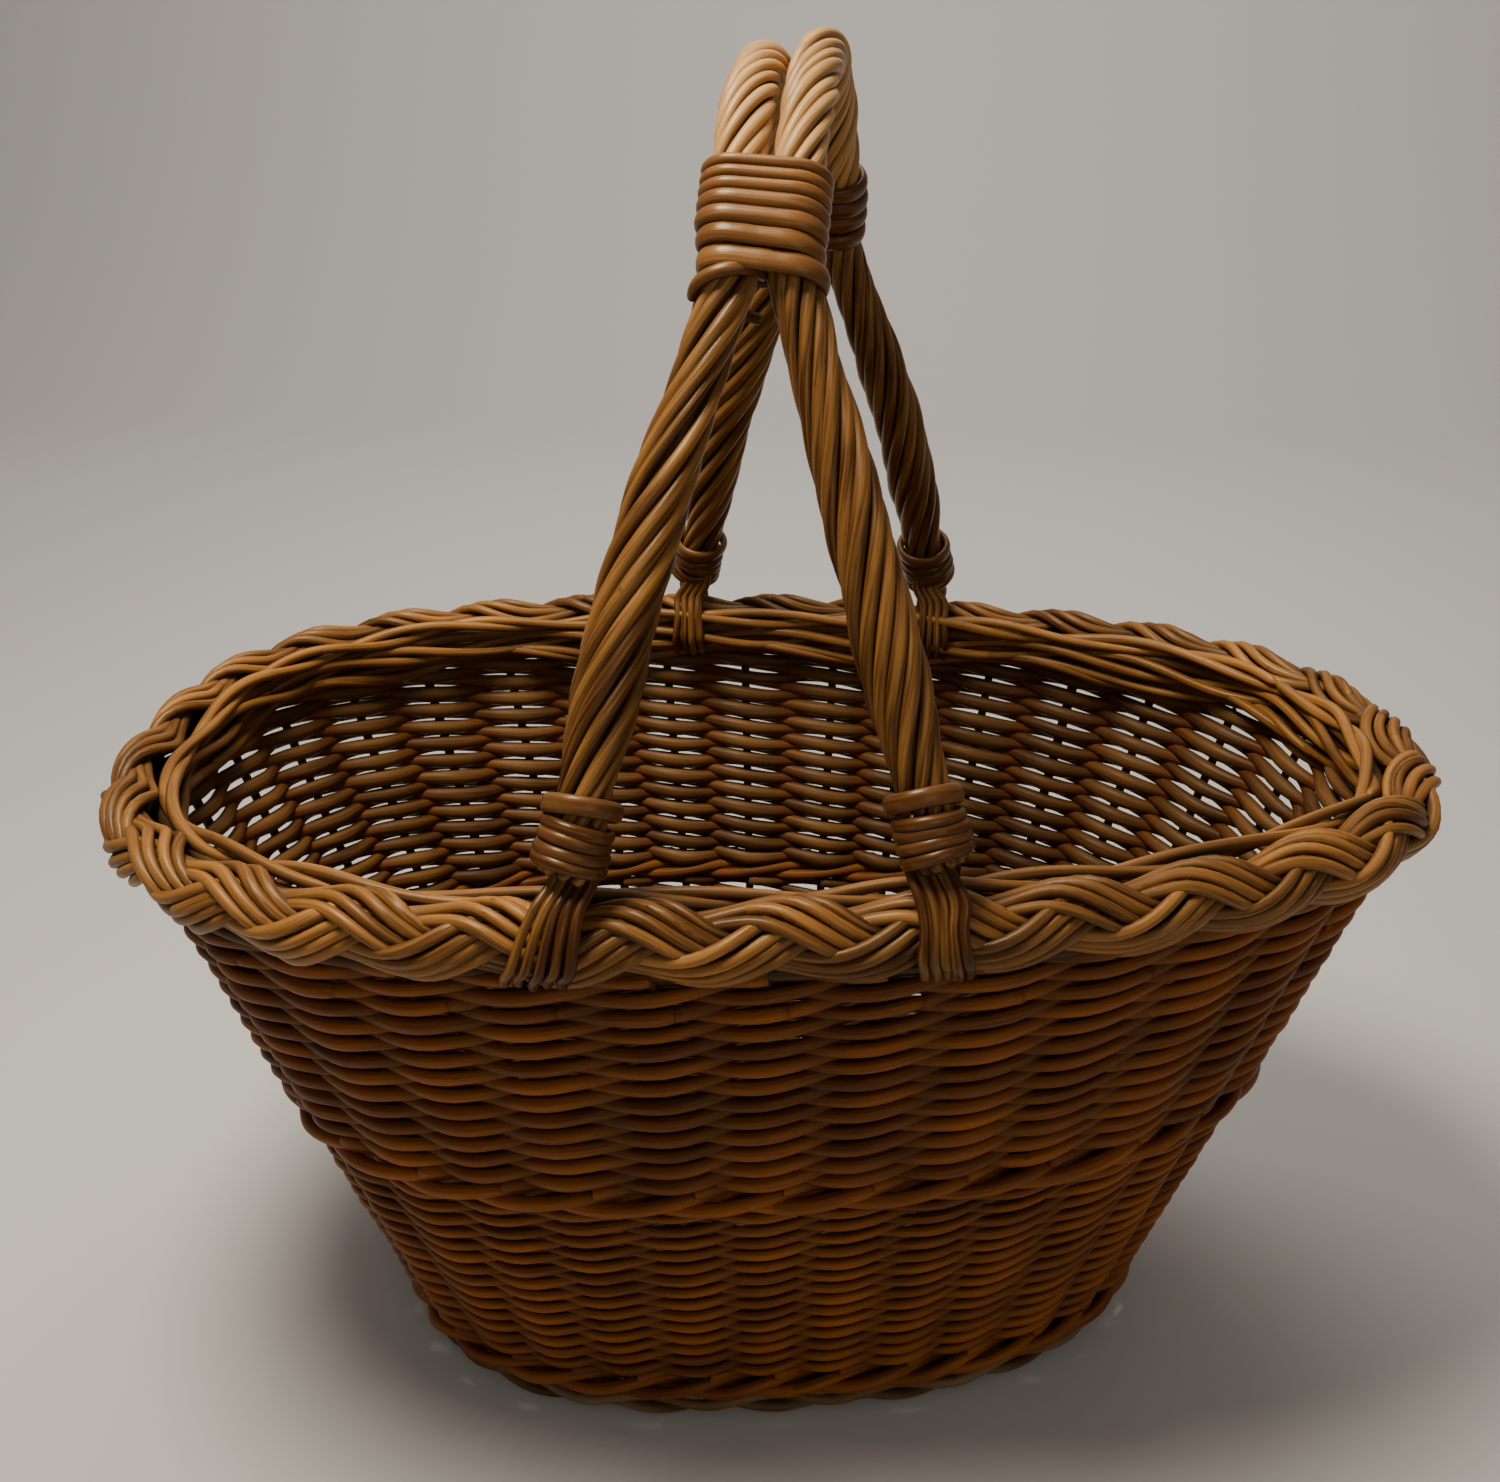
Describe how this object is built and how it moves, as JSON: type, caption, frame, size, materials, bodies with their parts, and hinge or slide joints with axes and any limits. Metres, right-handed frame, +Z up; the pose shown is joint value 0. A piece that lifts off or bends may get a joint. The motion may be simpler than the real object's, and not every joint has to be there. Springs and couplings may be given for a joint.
{
  "type": "willow basket",
  "caption": "Oval woven willow basket with flared walls, a plaited border and foot, and a fixed double rope handle arching over its short width.",
  "frame": {"origin": "under the middle of the basket's box, on the surface that the foot stands on", "axes": "+Z up, +X along the long axis of the rim, -Y towards the front; the handle arches from -Y to +Y"},
  "size_m": [0.4884, 0.3164, 0.5002],
  "materials": {
    "wall_willow": "satin-varnished peeled willow, red-brown, darker in the gaps",
    "border_willow": "satin-varnished willow, honey brown with pale streaks",
    "handle_willow": "satin-varnished twisted willow, golden brown, worn glossy",
    "binding_willow": "glossy red-brown willow binding",
    "stake_willow": "dull dark willow",
    "base_willow": "dull willow, lightly varnished",
    "foot_willow": "scuffed greyish willow, worn matt"
  },
  "bodies": {
    "root": {"foot_border": "foot_willow", "base_slath": "base_willow", "base_weave": "base_willow", "stake_1": "stake_willow", "stake_2": "stake_willow", "stake_3": "stake_willow", "stake_4": "stake_willow", "stake_5": "stake_willow", "stake_6": "stake_willow", "stake_7": "stake_willow", "stake_8": "stake_willow", "stake_9": "stake_willow", "stake_10": "stake_willow", "stake_11": "stake_willow", "stake_12": "stake_willow", "stake_13": "stake_willow", "stake_14": "stake_willow", "stake_15": "stake_willow", "stake_16": "stake_willow", "stake_17": "stake_willow", "stake_18": "stake_willow", "stake_19": "stake_willow", "stake_20": "stake_willow", "stake_21": "stake_willow", "stake_22": "stake_willow", "stake_23": "stake_willow", "stake_24": "stake_willow", "stake_25": "stake_willow", "stake_26": "stake_willow", "stake_27": "stake_willow", "stake_28": "stake_willow", "stake_29": "stake_willow", "stake_30": "stake_willow", "stake_31": "stake_willow", "stake_32": "stake_willow", "upsett_wale": "wall_willow", "lower_siding": "wall_willow", "mid_wale": "wall_willow", "upper_siding": "wall_willow", "top_wale": "wall_willow", "border_plait": "border_willow", "border_inner_rod": "border_willow", "handle_rope_left": "handle_willow", "handle_rope_right": "handle_willow", "wrap_near": "binding_willow", "wrap_far": "binding_willow", "tie_near_left": "handle_willow", "tie_near_right": "handle_willow", "tie_far_left": "handle_willow", "tie_far_right": "handle_willow", "strands_outer_near_left": "handle_willow", "strands_outer_near_right": "handle_willow", "strands_outer_far_left": "handle_willow", "strands_outer_far_right": "handle_willow", "strands_inner_near_left": "handle_willow", "strands_inner_near_right": "handle_willow", "strands_inner_far_left": "handle_willow", "strands_inner_far_right": "handle_willow", "wrap_tail_end": "binding_willow"}
  },
  "joints": []
}
